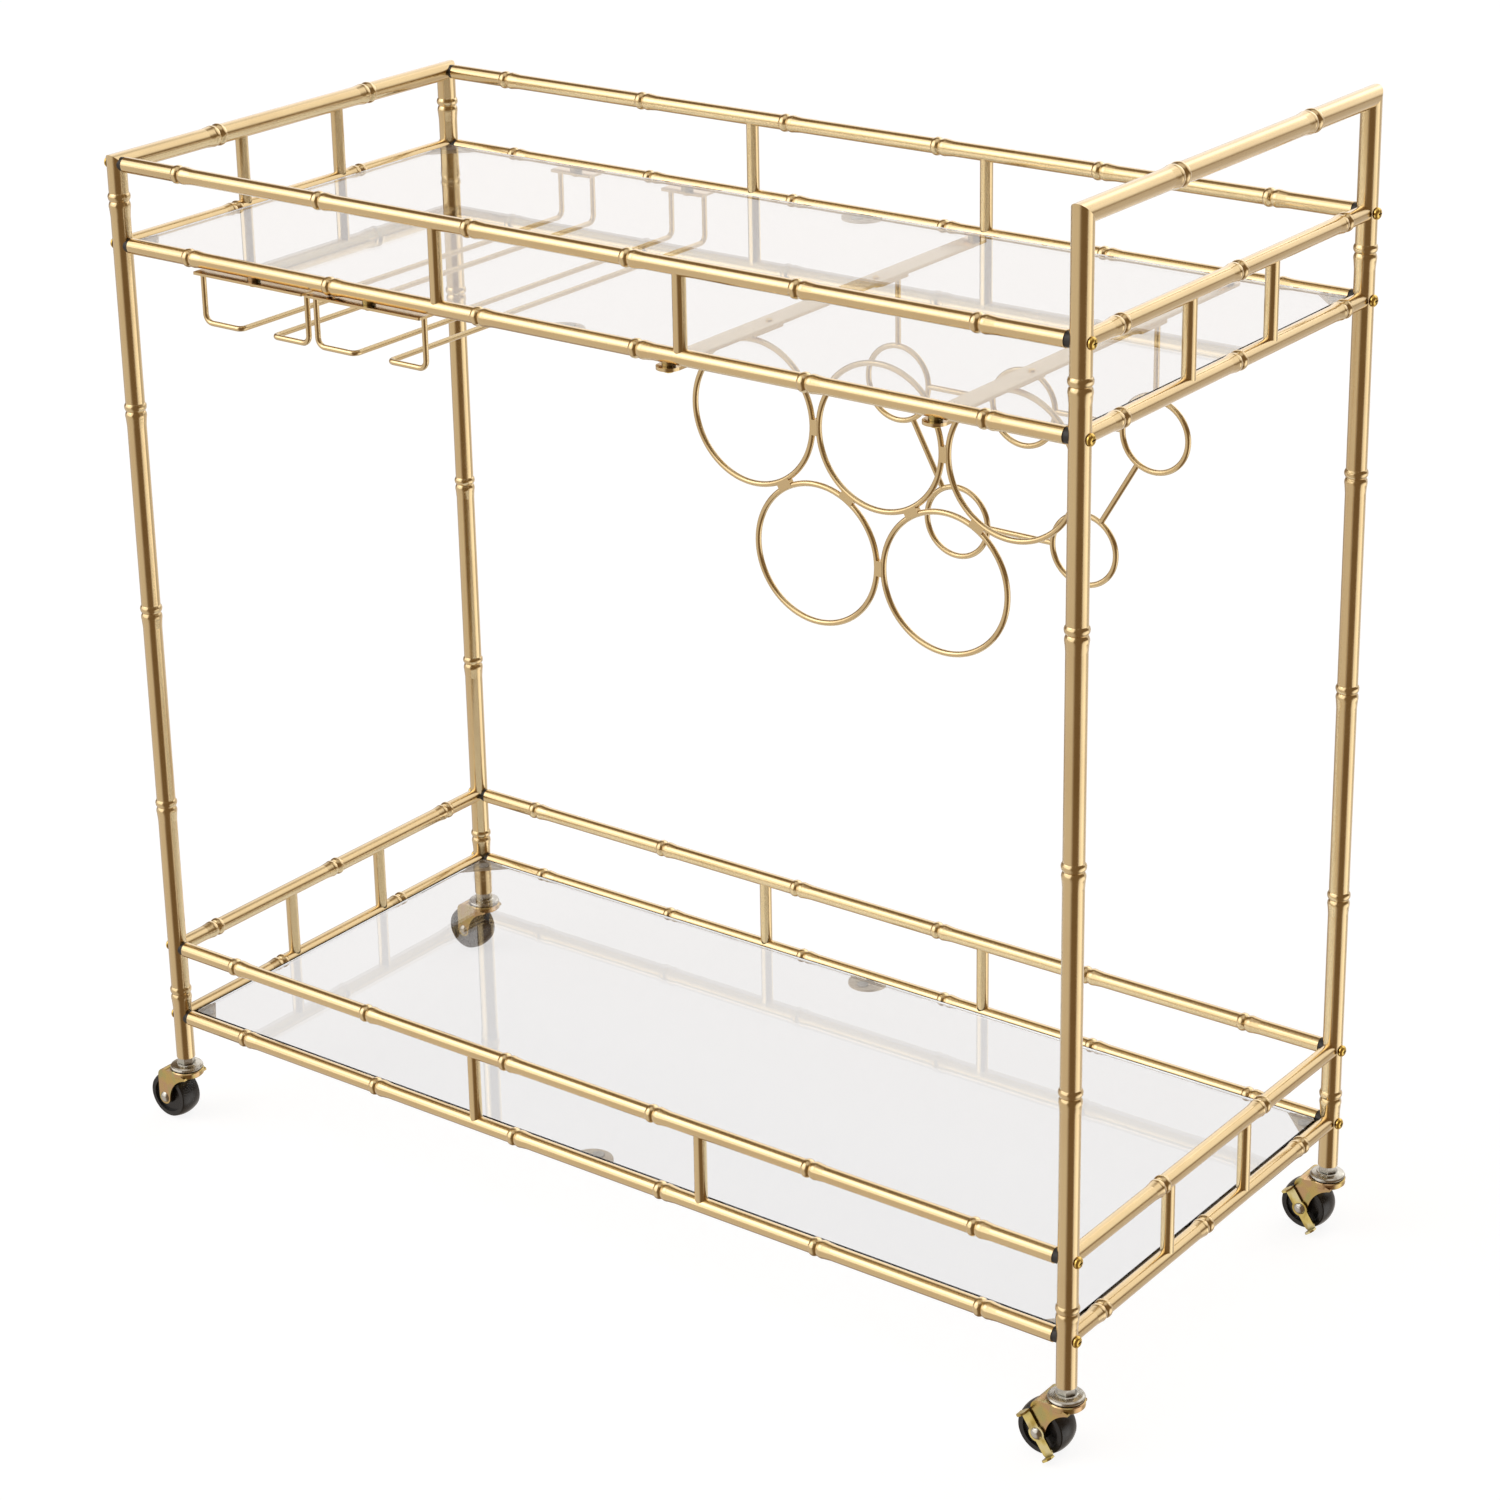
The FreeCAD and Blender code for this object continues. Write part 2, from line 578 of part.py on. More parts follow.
def rack_tab(bar_x, wire_x, wire_y, screw_y):
    """A small plate screwed under a crossbar, which a rack wire is welded to."""
    low, high = min(wire_y, screw_y) - TAB_END, max(wire_y, screw_y) + TAB_END
    middle = (bar_x + wire_x) / 2
    plate = Part.makeBox(TAB_WIDTH, high - low, TAB_THICKNESS,
                         vec(middle - TAB_WIDTH / 2, low, TAB_UNDER_Z))
    upright = [e for e in plate.Edges if abs(e.tangentAt(e.FirstParameter).z) > 0.9]
    plate = plate.makeFillet(TAB_CORNER_R, upright)
    hole = rod(vec(bar_x, screw_y, TAB_UNDER_Z - 1), vec(bar_x, screw_y, CROSSBAR_UNDER_Z + 1),
               SCREW_R + HOLE_CLEARANCE)
    return plate.cut(hole)


def rack_screws():
    """Short screws through the tabs into the crossbars."""
    screw = pan_screw(TAB_THICKNESS + CROSSBAR_THICKNESS + 1)
    return [laid(screw, vec(bar_x, screw_y, TAB_UNDER_Z), -Z_AXIS)
            for bar_x, wire_x, wire_y, screw_y in tabs()]


def wire_ring(centre, radius):
    """A closed ring of round wire in an upright plane across the cart."""
    return Part.makeTorus(radius, WIRE_R, centre, Y_AXIS)


def bottle_centres():
    """Ring centres: three in the upper row, then two nested below them."""
    drop = BOTTLE_PITCH * math.sin(math.radians(60))
    upper = [vec(BOTTLE_X + i * BOTTLE_PITCH, BOTTLE_Y, BOTTLE_Z) for i in (-1, 0, 1)]
    lower = [vec(BOTTLE_X + i * BOTTLE_PITCH, BOTTLE_Y, BOTTLE_Z - drop) for i in (-0.5, 0.5)]
    return upper, lower


def neck_centres():
    upper = [vec(NECK_X + i * NECK_PITCH, NECK_Y, NECK_Z) for i in (-1, 0, 1)]
    lower = [vec(NECK_X + NECK_LOWER_SHIFT + i * NECK_PITCH, NECK_Y, NECK_Z - NECK_ROW_DROP)
             for i in (-0.5, 0.5)]
    return upper, lower


def ring_joiners():
    """Small welded blocks between bottle rings that touch."""
    upper, lower = bottle_centres()
    centres = upper + lower
    rings = [wire_ring(c, BOTTLE_RING_R) for c in centres]
    solids = []
    for i, first in enumerate(centres):
        for j, second in enumerate(centres):
            apart = second - first
            if j <= i or apart.Length > 1.1 * BOTTLE_PITCH:
                continue
            width = BOTTLE_PITCH - 2 * BOTTLE_RING_R
            block = Part.makeBox(JOINER_LENGTH, JOINER_THICKNESS, width,
                                 vec(-JOINER_LENGTH / 2, -JOINER_THICKNESS / 2, -width / 2))
            turn = math.degrees(math.atan2(apart.x, apart.z))
            block.rotate(vec(0, 0, 0), Y_AXIS, turn)
            block.translate((first + second) * 0.5)
            solids.append(block.cut([rings[i], rings[j]]))
    return solids


def neck_links():
    """Straight wires from each neck ring to its neighbours."""
    (left, middle, right), (low_left, low_right) = neck_centres()
    solids = []
    for first, second in ((left, middle), (middle, right), (left, low_left), (right, low_right),
                          (low_left, low_right)):
        way = (second - first).normalize()
        wire = rod(first + way * NECK_RING_R, second - way * NECK_RING_R, WIRE_R)
        solids.append(wire.cut([wire_ring(first, NECK_RING_R), wire_ring(second, NECK_RING_R)]))
    return solids


def rack_hangers():
    """Upright wires from the tabs down to the outer rings of both racks."""
    solids = []
    for centres, radius in ((bottle_centres()[0], BOTTLE_RING_R), (neck_centres()[0], NECK_RING_R)):
        for centre in (centres[0], centres[2]):
            foot = centre + vec(0, 0, radius)
            wire = rod(foot, vec(centre.x, centre.y, TAB_UNDER_Z), WIRE_R)
            solids.append(wire.cut(wire_ring(centre, radius)))
    return solids


def holder_plate(x, y, length):
    """A flat plate under a rail, with a hole for its screw."""
    plate = Part.makeBox(length, HOLDER_WIDTH, HOLDER_THICKNESS,
                         vec(x - length / 2, y - HOLDER_WIDTH / 2, INSERT_FACE_Z - HOLDER_THICKNESS))
    upright = [e for e in plate.Edges if abs(e.tangentAt(e.FirstParameter).z) > 0.9]
    plate = plate.makeFillet(TAB_CORNER_R, upright)
    return plate.cut(rod(vec(x, y, UPPER_SHELF_Z - BIG / 2), vec(x, y, UPPER_SHELF_Z),
                         SCREW_R + HOLE_CLEARANCE))


def holder_plates():
    solids = []
    for x in HOLDER_X:
        solids.append(holder_plate(x, -HALF_D, HOLDER_FRONT_LENGTH))
        solids.append(holder_plate(x, HALF_D, HOLDER_REAR_LENGTH))
    return solids


def bent_wire(points, bends):
    """A round wire through the points, bent to the given radius at each inner point."""
    edges = []
    start = points[0]
    for before, corner, after, radius in zip(points, points[1:], points[2:], bends):
        into, out = (corner - before).normalize(), (after - corner).normalize()
        turn = into.getAngle(out)
        setback = radius * math.tan(turn / 2)
        first, last = corner - into * setback, corner + out * setback
        inward = (out - into).normalize()
        middle = corner + inward * (radius / math.cos(turn / 2) - radius)
        edges.append(Part.LineSegment(start, first).toShape())
        edges.append(Part.Arc(first, middle, last).toShape())
        start = last
    edges.append(Part.LineSegment(start, points[-1]).toShape())
    section = Part.Wire(Part.makeCircle(WIRE_R, points[0], points[1] - points[0]))
    return Part.Wire(edges).makePipeShell([section], True, False)


def stem_wires():
    """The four wires that the glass bases slide on."""
    top = INSERT_FACE_Z - HOLDER_THICKNESS
    solids = []
    for x in HOLDER_X:
        for side in (-1, 1):
            wide, narrow = x + side * HOLDER_MOUTH_HALF, x + side * STEM_SLOT_HALF
            points = [
                vec(wide, -HALF_D, top),
                vec(wide, -HALF_D, STEM_WIRE_Z),
                vec(narrow, -HALF_D, STEM_WIRE_Z),
                vec(narrow, HALF_D, STEM_WIRE_Z),
                vec(narrow, HALF_D, top),
            ]
            solids.append(bent_wire(points, (MOUTH_BEND, SLOT_BEND, MOUTH_BEND)))
    return solids


def caster_stem():
    """Threaded stem, hexagon and kingpin in one piece, on the Z axis."""
    corner_r = HEX_FLATS / math.sqrt(3)
    corners = [vec(corner_r * math.cos(math.radians(a)), corner_r * math.sin(math.radians(a)), CAP_TOP_Z)
               for a in range(0, 361, 60)]
    hexagon = Part.Face(Part.makePolygon(corners)).extrude(vec(0, 0, HEX_HEIGHT))
    thread = rod(vec(0, 0, CAP_TOP_Z), vec(0, 0, POST_BOTTOM_Z + STEM_THREAD), STEM_R)
    head_top = FORK_UNDER_Z - SLIDE_GAP
    kingpin = rod(vec(0, 0, head_top - KINGPIN_HEAD_H), vec(0, 0, CAP_TOP_Z), STEM_R)
    head = rod(vec(0, 0, head_top - KINGPIN_HEAD_H), vec(0, 0, head_top), KINGPIN_HEAD_R)
    return joined([hexagon, thread, kingpin, head])


def ball_race():
    """The ring-shaped space that the swivel balls run in."""
    middle = (CAP_UNDER_Z + FORK_TOP_Z) / 2
    return Part.makeTorus(BALL_CIRCLE_R, BALL_R + BALL_CLEARANCE, vec(0, 0, middle), Z_AXIS)


def caster_cap():
    """The dished upper race, fixed to the stem."""
    rim = RACE_R - 0.3
    dish = turned([
        (STEM_R, CAP_UNDER_Z),
        (rim - 1.6, CAP_UNDER_Z),
        (rim - 0.3, CAP_UNDER_Z + 0.4),
        (rim, CAP_UNDER_Z + 1.3),
        (rim - 0.6, CAP_UNDER_Z + 2.4),
        (rim - 1.9, CAP_UNDER_Z + 3.2),
        (rim - 5.2, CAP_TOP_Z - 0.5),
        (rim - 6.0, CAP_TOP_Z),
        (STEM_R, CAP_TOP_Z),
    ])
    return dish.cut(ball_race())


def swivel_balls():
    """One ring of balls between the cap and the fork."""
    middle = (CAP_UNDER_Z + FORK_TOP_Z) / 2
    turns = [2 * math.pi * i / BALL_COUNT for i in range(BALL_COUNT)]
    return [Part.makeSphere(BALL_R, vec(BALL_CIRCLE_R * math.cos(t), BALL_CIRCLE_R * math.sin(t), middle))
            for t in turns]


def fork_side():
    """Side outline of the fork, in the XZ plane at the outer face of the front leg."""
    y = -FORK_OUTER_HALF
    axle_x = -CASTER_TRAIL
    rear = axle_x - FORK_BOSS_R
    front = axle_x + FORK_BOSS_R
    shoulder = FORK_TOP_Z - 1.6
    points = {
        "boss_rear": vec(rear, y, AXLE_Z),
        "boss_foot": vec(axle_x, y, AXLE_Z - FORK_BOSS_R),
        "boss_front": vec(front, y, AXLE_Z),
        "front_waist": vec(front + 4.5, y, AXLE_Z + 12.5),
        "front_head": vec(9.5, y, FORK_UNDER_Z),
        "head_front": vec(9.5, y, FORK_UNDER_Z + 2),
        "head_rear": vec(-5.0, y, FORK_TOP_Z),
        "web_top": vec(axle_x + 3.0, y, shoulder),
        "web_bend": vec(rear + 1.6, y, shoulder - 1.9),
        "web_rear": vec(rear, y, shoulder - 5.5),
    }
    p = points
    edges = [
        Part.Arc(p["boss_rear"], p["boss_foot"], p["boss_front"]).toShape(),
        Part.Arc(p["boss_front"], p["front_waist"], p["front_head"]).toShape(),
        Part.LineSegment(p["front_head"], p["head_front"]).toShape(),
        Part.LineSegment(p["head_front"], p["head_rear"]).toShape(),
        Part.LineSegment(p["head_rear"], p["web_top"]).toShape(),
        Part.Arc(p["web_top"], p["web_bend"], p["web_rear"]).toShape(),
        Part.LineSegment(p["web_rear"], p["boss_rear"]).toShape(),
    ]
    return Part.Face(Part.Wire(edges))


def caster_fork():
    """The swivelling fork: lower race, web over the wheel and two legs."""
    race = turned([
        (STEM_R + RUNNING_CLEARANCE, FORK_UNDER_Z),
        (RACE_R - 1.2, FORK_UNDER_Z),
        (RACE_R, FORK_UNDER_Z + 1.2),
        (RACE_R, FORK_TOP_Z - 0.8),
        (RACE_R - 0.8, FORK_TOP_Z),
        (STEM_R + RUNNING_CLEARANCE, FORK_TOP_Z),
    ])
    yoke = fork_side().extrude(vec(0, 2 * FORK_OUTER_HALF, 0))
    axle = vec(-CASTER_TRAIL, 0, AXLE_Z)
    span = vec(0, FORK_INNER_HALF, 0)
    wheel_space = rod(axle - span, axle + span, WHEEL_R + WHEEL_CLEARANCE)
    open_below = Part.makeBox(BIG, 2 * FORK_INNER_HALF, FORK_UNDER_Z + BIG,
                              vec(-CASTER_TRAIL, -FORK_INNER_HALF, -BIG))
    open_rear = Part.makeBox(BIG, 2 * FORK_INNER_HALF, AXLE_Z + BIG,
                             vec(-CASTER_TRAIL - BIG, -FORK_INNER_HALF, -BIG))
    yoke = yoke.cut([wheel_space, open_below, open_rear])
    reach = vec(0, 2 * FORK_OUTER_HALF, 0)
    axle_hole = rod(axle - reach, axle + reach, AXLE_R + RUNNING_CLEARANCE)
    bore = rod(vec(0, 0, 0), vec(0, 0, BIG), STEM_R + RUNNING_CLEARANCE)
    return joined([race, yoke]).cut([ball_race(), bore, axle_hole])


def rivet_head(centre, side):
    """A domed rivet head standing out to one side along Y."""
    dome_r = (RIVET_HEAD_R ** 2 + RIVET_HEAD_H ** 2) / (2 * RIVET_HEAD_H)
    ball = Part.makeSphere(dome_r, centre + vec(0, side * (RIVET_HEAD_H - dome_r), 0))
    disc = rod(centre, centre + vec(0, side * RIVET_HEAD_H, 0), RIVET_HEAD_R)
    return ball.common(disc)


def caster_axle(has_brake):
    """The rivet that the wheel turns on, headed outside the fork and the brake lever."""
    axle = vec(-CASTER_TRAIL, 0, AXLE_Z)
    front = FORK_OUTER_HALF + (2 * SLIDE_GAP + LEVER_THICKNESS if has_brake else 0)
    front_face = axle - vec(0, front, 0)
    back_face = axle + vec(0, FORK_OUTER_HALF, 0)
    shaft = rod(front_face, back_face, AXLE_R)
    return joined([shaft, rivet_head(front_face, -1), rivet_head(back_face, 1)])


def caster_wheel():
    """A crowned solid wheel with dished sides, turned about its axle."""
    bore = AXLE_R + RUNNING_CLEARANCE
    dish = WHEEL_HALF - WHEEL_DISH_DEPTH
    side = [
        (bore, WHEEL_HUB_HALF),
        (WHEEL_HUB_R, WHEEL_HUB_HALF),
        (WHEEL_HUB_R + 0.6, dish),
        (WHEEL_DISH_R, dish),
        (WHEEL_DISH_R + 0.8, WHEEL_HALF),
        (WHEEL_EDGE_R - 0.8, WHEEL_HALF),
        (WHEEL_EDGE_R, WHEEL_HALF - 0.6),
    ]
    other = [(r, -z) for r, z in side[::-1]]
    tread = Part.Arc(vec(side[-1][0], 0, side[-1][1]), vec(WHEEL_R, 0, 0),
                     vec(other[0][0], 0, other[0][1])).toShape()
    edges = [Part.LineSegment(vec(a[0], 0, a[1]), vec(b[0], 0, b[1])).toShape()
             for half in (side, other) for a, b in zip(half, half[1:])]
    closing = Part.LineSegment(vec(bore, 0, -WHEEL_HUB_HALF), vec(bore, 0, WHEEL_HUB_HALF)).toShape()
    outline = Part.Wire(Part.__sortEdges__(edges + [tread, closing]))
    wheel = Part.Face(outline).revolve(vec(0, 0, 0), Z_AXIS, 360)
    return laid(wheel, vec(-CASTER_TRAIL, 0, AXLE_Z), Y_AXIS)


def lever_plate(first, second, y):
    """A flat arm between two round ends, standing in the XZ plane."""
    reach = vec(0, LEVER_THICKNESS, 0)
    run = second - first
    across = vec(-run.z, 0, run.x).normalize() * LEVER_END_R
    corners = [first + across, second + across, second - across, first - across]
    corners = [c + vec(0, y, 0) for c in corners]
    strip = Part.Face(Part.makePolygon(corners + corners[:1])).extrude(reach)
    ends = [rod(p + vec(0, y, 0), p + vec(0, y, 0) + reach, LEVER_END_R) for p in (first, second)]
    return joined([strip] + ends)


def lever_flange(end, y, reach):
    """A tab bent outwards at an arm's end, square to the arm."""
    away = vec(end.x, 0, end.z).normalize()
    tab = Part.makeBox(2 * LEVER_END_R, reach, LEVER_THICKNESS, vec(-LEVER_END_R, -reach, -LEVER_THICKNESS))
    upright = [e for e in tab.Edges if abs(e.tangentAt(e.FirstParameter).z) > 0.9
               and e.CenterOfMass.y < -reach / 2]
    tab = tab.makeFillet(0.45 * reach, upright)
    turn = math.degrees(math.atan2(away.x, away.z))
    tab.rotate(vec(0, 0, 0), Y_AXIS, turn)
    tab.translate(end + away * LEVER_END_R + vec(0, y + LEVER_THICKNESS / 2, 0))
    return tab


def brake_lever():
    """A rocker on the axle: a pedal at the rear top and a toe at the front bottom."""
    y = -FORK_OUTER_HALF - SLIDE_GAP - LEVER_THICKNESS
    pedal = at_angle(WHEEL_R - LEVER_END_R - PEDAL_INSET, PEDAL_ANGLE)
    toe = at_angle(WHEEL_R - LEVER_END_R - TOE_INSET, TOE_ANGLE)
    hub = rod(vec(0, y, 0), vec(0, y + LEVER_THICKNESS, 0), LEVER_HUB_R)
    flanges = [lever_flange(pedal, y, PEDAL_REACH), lever_flange(toe, y, TOE_REACH)]
    lever = joined([lever_plate(pedal, toe, y), hub] + flanges)
    hole = rod(vec(0, -BIG, 0), vec(0, BIG, 0), AXLE_R + RUNNING_CLEARANCE)
    lever = lever.cut(hole)
    lever.translate(vec(-CASTER_TRAIL, 0, AXLE_Z))
    return lever


def at_post(shape, side_x, side_y):
    """A caster piece moved from the Z axis to its post."""
    moved = shape.copy()
    moved.translate(vec(side_x * HALF_L, side_y * HALF_D, 0))
    return moved


def post_insert():
    """A threaded plug in the post's lower end."""
    plug = rod(vec(0, 0, POST_BOTTOM_Z), vec(0, 0, POST_BOTTOM_Z + POST_INSERT_DEPTH), POST_BORE)
    bore = rod(vec(0, 0, POST_BOTTOM_Z - 1), vec(0, 0, POST_BOTTOM_Z + POST_INSERT_DEPTH + 1),
               STEM_R + THREAD_CLEARANCE)
    return plug.cut(bore)


def at_all_posts(solids):
    return [at_post(s, sx, sy) for sx, sy in CORNERS.values() for s in solids]


def frame_nodes():
    """Posts, top bars and rails."""
    nodes = {"post_" + name: post(sx, sy) for name, (sx, sy) in CORNERS.items()}
    nodes["handle_bar"] = top_bar(1)
    nodes["left_top_bar"] = top_bar(-1)
    for name in END_RAILS:
        nodes[name] = end_rail(name)
    for name, side in (("front", -1), ("back", 1)):
        nodes[name + "_upper_gallery_rail"] = long_rail(side, UPPER_TOP_Z)
        nodes[name + "_upper_shelf_rail"] = long_rail(side, UPPER_SHELF_Z)
        nodes[name + "_lower_gallery_rail"] = long_rail(side, LOWER_TOP_Z)
        nodes[name + "_lower_shelf_rail"] = long_rail(side, LOWER_SHELF_Z)
    nodes["upper_spindles"] = spindles(UPPER_SHELF_Z, UPPER_TOP_Z)
    nodes["lower_spindles"] = spindles(LOWER_SHELF_Z, LOWER_TOP_Z)
    return nodes


def shelf_nodes():
    """Glass, its supports and the screws that hold the frame together."""
    return {
        "upper_glass": glass(UPPER_SHELF_Z),
        "lower_glass": glass(LOWER_SHELF_Z),
        "glass_supports": glass_supports(),
        "glass_pads": glass_pads(),
        "post_screws": post_screws(),
        "end_inserts": end_inserts(),
        "rail_inserts": rail_inserts(),
        "shelf_screws": shelf_screws(),
    }


def rack_nodes():
    """Wine rack and stemware holders."""
    upper, lower = bottle_centres()
    neck_upper, neck_lower = neck_centres()
    return {
        "crossbars": [crossbar(x) for x in CROSSBAR_X],
        "rack_tabs": [rack_tab(*place) for place in tabs()],
        "rack_screws": rack_screws(),
        "rack_hangers": rack_hangers(),
        "bottle_rings_upper": [wire_ring(c, BOTTLE_RING_R) for c in upper],
        "bottle_rings_lower": [wire_ring(c, BOTTLE_RING_R) for c in lower],
        "ring_joiners": ring_joiners(),
        "neck_rings": [wire_ring(c, NECK_RING_R) for c in neck_upper + neck_lower],
        "neck_links": neck_links(),
        "holder_plates": holder_plates(),
        "stem_wires": stem_wires(),
    }


def caster_nodes():
    """Four casters; the two at the handle end have brakes."""
    nodes = {
        "post_inserts": at_all_posts([post_insert()]),
        "caster_stems": at_all_posts([caster_stem()]),
        "caster_caps": at_all_posts([caster_cap()]),
        "swivel_balls": at_all_posts(swivel_balls()),
    }
    fork, wheel = caster_fork(), caster_wheel()
    for name, (sx, sy) in CORNERS.items():
        nodes["fork_" + name] = at_post(fork, sx, sy)
        nodes["axle_" + name] = at_post(caster_axle(sx > 0), sx, sy)
        nodes["wheel_" + name] = at_post(wheel, sx, sy)
        if sx > 0:
            nodes["brake_lever_" + name] = at_post(brake_lever(), sx, sy)
    return nodes


def main():
    os.makedirs("parts", exist_ok=True)
    nodes = {}
    for group in (frame_nodes(), shelf_nodes(), rack_nodes(), caster_nodes()):
        nodes.update(group)
    for name, shape in nodes.items():
        solids = shape if isinstance(shape, list) else [shape]
        whole = Part.makeCompound([s.Solids[0] for s in solids])
        whole.translate(vec(-ORIGIN_X, 0, 0))
        whole.exportStep("parts/" + name + ".step")


main()
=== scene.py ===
"""Looks of the bar cart: materials for the CAD pieces, finished pads, floor, light and camera."""
import json
import math

import bmesh
import bpy
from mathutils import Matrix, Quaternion, Vector

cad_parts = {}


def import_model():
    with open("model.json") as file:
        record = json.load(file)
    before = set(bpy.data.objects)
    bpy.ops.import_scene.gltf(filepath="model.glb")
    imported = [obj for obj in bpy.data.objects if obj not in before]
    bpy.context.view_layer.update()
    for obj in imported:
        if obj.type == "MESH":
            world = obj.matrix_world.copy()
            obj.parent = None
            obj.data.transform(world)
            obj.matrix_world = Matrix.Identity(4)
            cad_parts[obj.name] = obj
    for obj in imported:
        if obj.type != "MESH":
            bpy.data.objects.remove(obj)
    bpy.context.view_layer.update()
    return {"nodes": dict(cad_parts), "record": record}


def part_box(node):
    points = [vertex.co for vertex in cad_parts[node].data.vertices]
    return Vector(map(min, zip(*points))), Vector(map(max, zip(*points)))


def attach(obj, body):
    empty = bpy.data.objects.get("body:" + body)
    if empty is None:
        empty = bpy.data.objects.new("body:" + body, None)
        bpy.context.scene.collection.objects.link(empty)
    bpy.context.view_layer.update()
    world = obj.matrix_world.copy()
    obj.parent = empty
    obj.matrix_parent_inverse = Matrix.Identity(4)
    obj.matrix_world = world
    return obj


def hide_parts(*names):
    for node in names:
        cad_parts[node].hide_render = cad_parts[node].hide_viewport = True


# Camera: place in metres, turn as a quaternion, lens and sensor in millimetres, shift in frame widths
CAMERA_PLACE = (1.6847, -2.1873, 1.5517)
CAMERA_TURN = (0.779228, 0.541071, 0.188324, 0.254126)
CAMERA_LENS = 88.66
CAMERA_SHIFT = (0.0093, -0.1227)
CAMERA_SENSOR = 36.0
CAMERA_CLIP = (0.05, 200.0)

# Pads under the glass, in metres; the gap keeps their faces apart from the glass and the plates
PAD_RADIUS = 0.005
PAD_HEIGHT = 0.0012
PAD_GAP = 0.00006
PAD_SEGMENTS = 36
# Half a pad's section, from its bottom centre round to its dimple, in shares of radius and height
PAD_OUTLINE = (
    (0.0, 0.0), (0.90, 0.0), (1.0, 0.25), (1.0, 0.75),
    (0.90, 1.0), (0.55, 1.0), (0.48, 0.8), (0.0, 0.8),
)

# Linear colours
GOLD = (0.780, 0.590, 0.280)
# GOLD_DEEP is both the slow colour drift and the painted shade in the gold's corners
GOLD_DEEP = (0.660, 0.450, 0.180)
BRASS = (0.850, 0.600, 0.160)
# Painted shade colour for the screws' recesses
BRASS_RECESS_SHADE = (0.380, 0.220, 0.030)
ZINC = (0.640, 0.630, 0.580)
ZINC_DULL = (0.420, 0.410, 0.360)
YELLOW_ZINC = (0.640, 0.480, 0.180)
YELLOW_ZINC_PINK = (0.620, 0.400, 0.240)
YELLOW_ZINC_GREEN = (0.480, 0.480, 0.200)
LEVER_ZINC = (0.900, 0.760, 0.280)
LEVER_PALE = (0.930, 0.880, 0.560)
LEVER_DARK = (0.420, 0.280, 0.040)
BLACK = (0.010, 0.010, 0.011)
# CHARCOAL is the black plastic's colour and also the painted shade in the zinc parts' corners
CHARCOAL = (0.030, 0.028, 0.026)
PLATE_PALE = (0.80, 0.72, 0.58)
PLATE_DEEP = (0.72, 0.62, 0.47)
PAD_PALE = (0.86, 0.84, 0.79)
PAD_DEEP = (0.76, 0.74, 0.68)
GLASS_TINT = (0.800, 0.806, 0.818)
GLASS_EDGE = (0.02, 0.05, 0.045)
GLASS_SHADOW = (0.96, 0.96, 0.96)
FLOOR_GREY = (0.22, 0.22, 0.22)
WHITE = (1.0, 1.0, 1.0)

GLASS_IOR = 1.52
FLOOR_SIZE = 60.0
FLOOR_GLOW = 0.88

# The one lamp, in front of the cart and above left, in metres and watts
KEY_PLACE = (-1.9, -2.3, 2.6)
KEY_TARGET = (0, 0, 0.5)
KEY_SIZE = 1.6
KEY_POWER = 10.0

# The studio as seen from the cart: towards, cosine where a glow starts, where it is full, strength
LIGHT_LOBES = (
    ((-0.35, 0.90, 0.25), 0.80, 0.92, 1.00),
    ((0.30, 0.80, 0.52), 0.82, 0.95, 0.95),
    ((-0.56, -0.72, 0.40), 0.70, 0.83, 1.25),
    ((0.10, -0.10, 1.00), 0.80, 0.96, 0.60),
)
# The same below the horizon only
FLOOR_LOBES = (
    ((-0.75, -0.67, -0.40), 0.45, 0.80, 0.50),
    ((0.96, 0.29, -0.40), 0.85, 0.96, 0.90),
    ((0.30, 0.90, -0.35), 0.40, 0.85, 0.40),
    ((-0.50, 0.85, -0.30), 0.60, 0.90, 0.25),
)
ROOM_COLOUR = (0.19, 0.125, 0.07)
# Cosines from straight up or down between which a glow fades out at the horizon
HORIZON = (-0.03, 0.05)

# Places of a colour Mix node's sockets
MIX_FACTOR = 0
MIX_FIRST = 6
MIX_SECOND = 7
MIX_RESULT = 2


